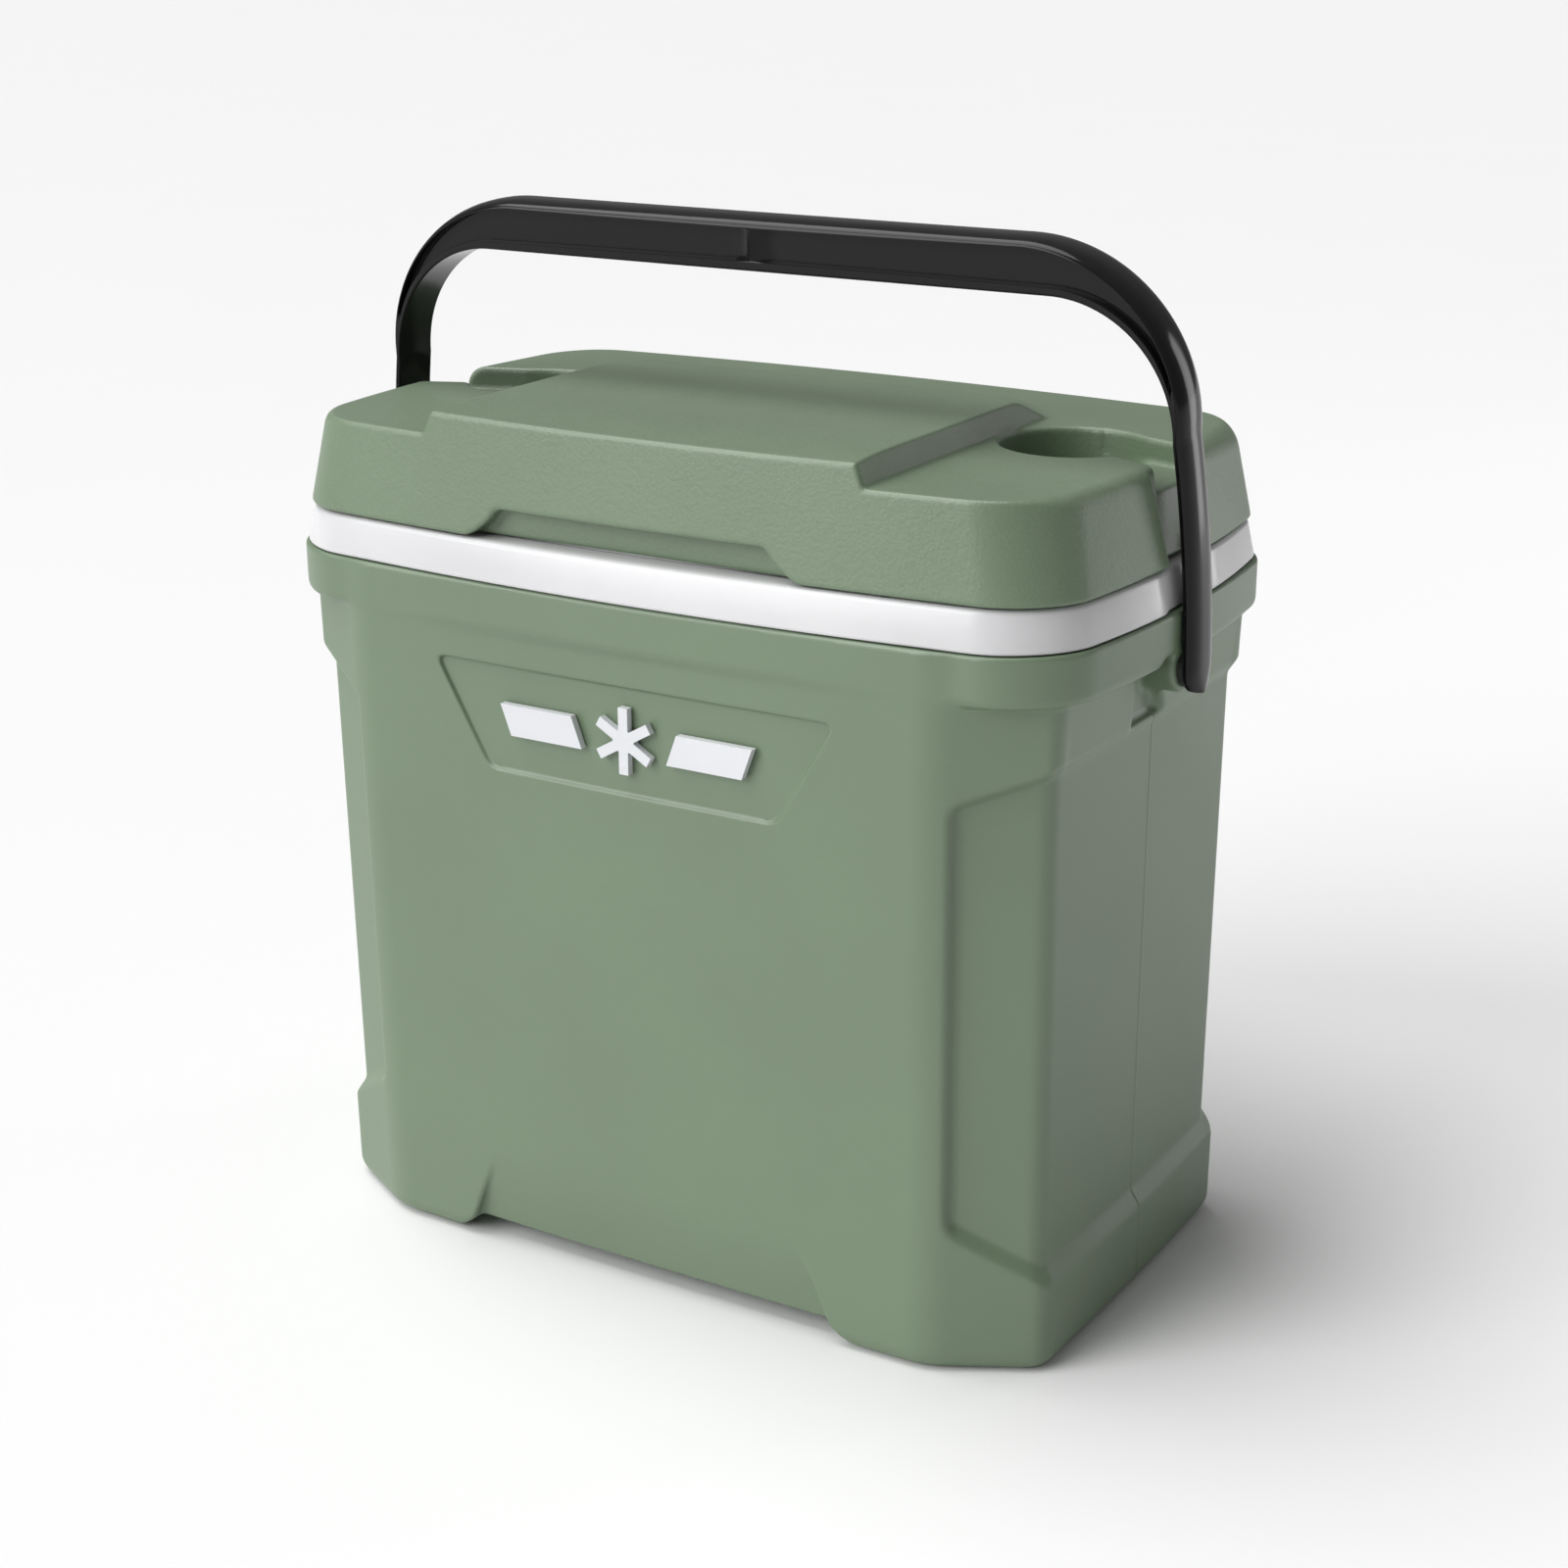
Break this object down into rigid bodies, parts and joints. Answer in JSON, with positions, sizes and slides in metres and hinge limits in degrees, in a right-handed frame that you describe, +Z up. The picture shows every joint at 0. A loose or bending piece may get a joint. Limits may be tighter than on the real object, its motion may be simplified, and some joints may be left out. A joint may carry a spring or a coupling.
{
  "type": "picnic cooler",
  "caption": "Hard-sided insulated picnic cooler with a hinged lid, cup holders moulded into the lid, rear strap hinges and a swing-up bail handle over the top",
  "frame": {"origin": "on the ground, under the centre of the object's bounding box with the handle upright", "axes": "+X to the right along the long side as seen from the front, +Y from the front to the hinges at the back, +Z up"},
  "size_m": [0.4856, 0.294, 0.5434],
  "materials": {
    "sage_plastic": "satin moulded sage-green polyethylene",
    "lid_plastic": "fine pebbled moulded sage-green polyethylene",
    "body_foam": "open-cell insulating foam",
    "lid_foam": "open-cell insulating foam",
    "white_liner": "semi-gloss white moulded plastic",
    "white_underside": "semi-gloss white moulded plastic",
    "black_handle": "glossy black moulded plastic",
    "bush_plastic": "plain black acetal",
    "badge_white": "smooth white inset plastic",
    "hinge_steel": "brushed stainless strip",
    "screw_steel": "turned stainless",
    "steel": "drawn stainless rod"
  },
  "bodies": {
    "tub": {"body_shell": "sage_plastic", "body_foam": "body_foam", "tub_liner": "white_liner", "pivot_bush_left": "bush_plastic", "hinge_body_leaf_left": "hinge_steel", "hinge_pin_left": "steel", "badge_bar_left": "badge_white", "pivot_bush_right": "bush_plastic", "hinge_body_leaf_right": "hinge_steel", "hinge_pin_right": "steel", "badge_bar_right": "badge_white", "badge_star": "badge_white", "body_screw_1": "screw_steel", "body_screw_2": "screw_steel", "body_screw_3": "screw_steel", "body_screw_4": "screw_steel"},
    "lid": {"lid_shell": "lid_plastic", "lid_foam": "lid_foam", "lid_liner": "white_underside", "hinge_lid_leaf_left": "hinge_steel", "hinge_lid_leaf_right": "hinge_steel", "lid_screw_1": "screw_steel", "lid_screw_2": "screw_steel", "lid_screw_3": "screw_steel", "lid_screw_4": "screw_steel"},
    "handle": {"bail_handle": "black_handle", "pivot_pin_left": "steel", "pin_clip_left": "steel", "pivot_pin_right": "steel", "pin_clip_right": "steel"}
  },
  "joints": [
    {"name": "handle_swing", "type": "hinge", "parent": "tub", "child": "handle", "pos_m": [0, -0.0035, 0.343], "axis": [1, 0, 0], "range_deg": [-115, 110]},
    {"name": "lid_hinge", "type": "hinge", "parent": "tub", "child": "lid", "pos_m": [0, 0.1427, 0.393], "axis": [-1, 0, 0], "range_deg": [0, 13]}
  ]
}
